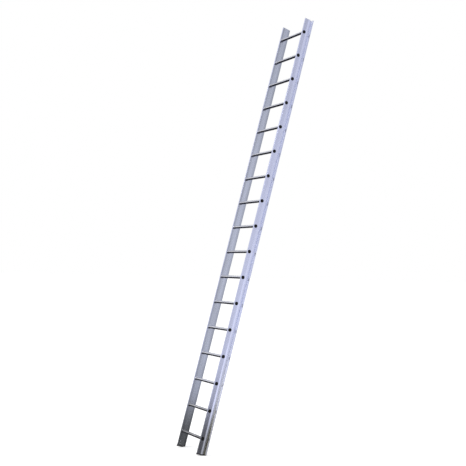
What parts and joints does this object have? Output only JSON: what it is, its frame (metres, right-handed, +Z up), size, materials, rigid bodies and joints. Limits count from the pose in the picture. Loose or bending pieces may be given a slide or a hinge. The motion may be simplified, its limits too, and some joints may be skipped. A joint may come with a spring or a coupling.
{
  "type": "extension ladder",
  "caption": "Single straight section of an aluminium extension ladder: two grooved box-section stiles, round fluted rungs swaged through them, rubber feet and end caps.",
  "frame": {"origin": "on the floor, midway between the two feet, under the middle of their heel facets", "axes": "+Z up, +X across the ladder along the rungs, to the climber's right; the climber stands on the -Y side and the ladder leans back towards +Y at its working angle of 75 degrees to the floor"},
  "size_m": [0.448, 1.1939, 4.1546],
  "materials": {
    "aluminium_stiles": "mill finish, drawn along the stile",
    "aluminium_rungs": "mill finish, fluted",
    "black_rung_plugs": "moulded black plastic",
    "rubber_feet": "matt ribbed rubber",
    "grey_end_caps": "moulded grey plastic",
    "rivets": "satin"
  },
  "bodies": {
    "root": {"left_stile": "aluminium_stiles", "left_foot": "rubber_feet", "left_end_cap": "grey_end_caps", "left_rivets": "rivets", "right_stile": "aluminium_stiles", "right_foot": "rubber_feet", "right_end_cap": "grey_end_caps", "right_rivets": "rivets", "rung_01": "aluminium_rungs", "left_rung_plug_01": "black_rung_plugs", "right_rung_plug_01": "black_rung_plugs", "rung_02": "aluminium_rungs", "left_rung_plug_02": "black_rung_plugs", "right_rung_plug_02": "black_rung_plugs", "rung_03": "aluminium_rungs", "left_rung_plug_03": "black_rung_plugs", "right_rung_plug_03": "black_rung_plugs", "rung_04": "aluminium_rungs", "left_rung_plug_04": "black_rung_plugs", "right_rung_plug_04": "black_rung_plugs", "rung_05": "aluminium_rungs", "left_rung_plug_05": "black_rung_plugs", "right_rung_plug_05": "black_rung_plugs", "rung_06": "aluminium_rungs", "left_rung_plug_06": "black_rung_plugs", "right_rung_plug_06": "black_rung_plugs", "rung_07": "aluminium_rungs", "left_rung_plug_07": "black_rung_plugs", "right_rung_plug_07": "black_rung_plugs", "rung_08": "aluminium_rungs", "left_rung_plug_08": "black_rung_plugs", "right_rung_plug_08": "black_rung_plugs", "rung_09": "aluminium_rungs", "left_rung_plug_09": "black_rung_plugs", "right_rung_plug_09": "black_rung_plugs", "rung_10": "aluminium_rungs", "left_rung_plug_10": "black_rung_plugs", "right_rung_plug_10": "black_rung_plugs", "rung_11": "aluminium_rungs", "left_rung_plug_11": "black_rung_plugs", "right_rung_plug_11": "black_rung_plugs", "rung_12": "aluminium_rungs", "left_rung_plug_12": "black_rung_plugs", "right_rung_plug_12": "black_rung_plugs", "rung_13": "aluminium_rungs", "left_rung_plug_13": "black_rung_plugs", "right_rung_plug_13": "black_rung_plugs", "rung_14": "aluminium_rungs", "left_rung_plug_14": "black_rung_plugs", "right_rung_plug_14": "black_rung_plugs", "rung_15": "aluminium_rungs", "left_rung_plug_15": "black_rung_plugs", "right_rung_plug_15": "black_rung_plugs", "rung_16": "aluminium_rungs", "left_rung_plug_16": "black_rung_plugs", "right_rung_plug_16": "black_rung_plugs", "rung_17": "aluminium_rungs", "left_rung_plug_17": "black_rung_plugs", "right_rung_plug_17": "black_rung_plugs"}
  },
  "joints": []
}
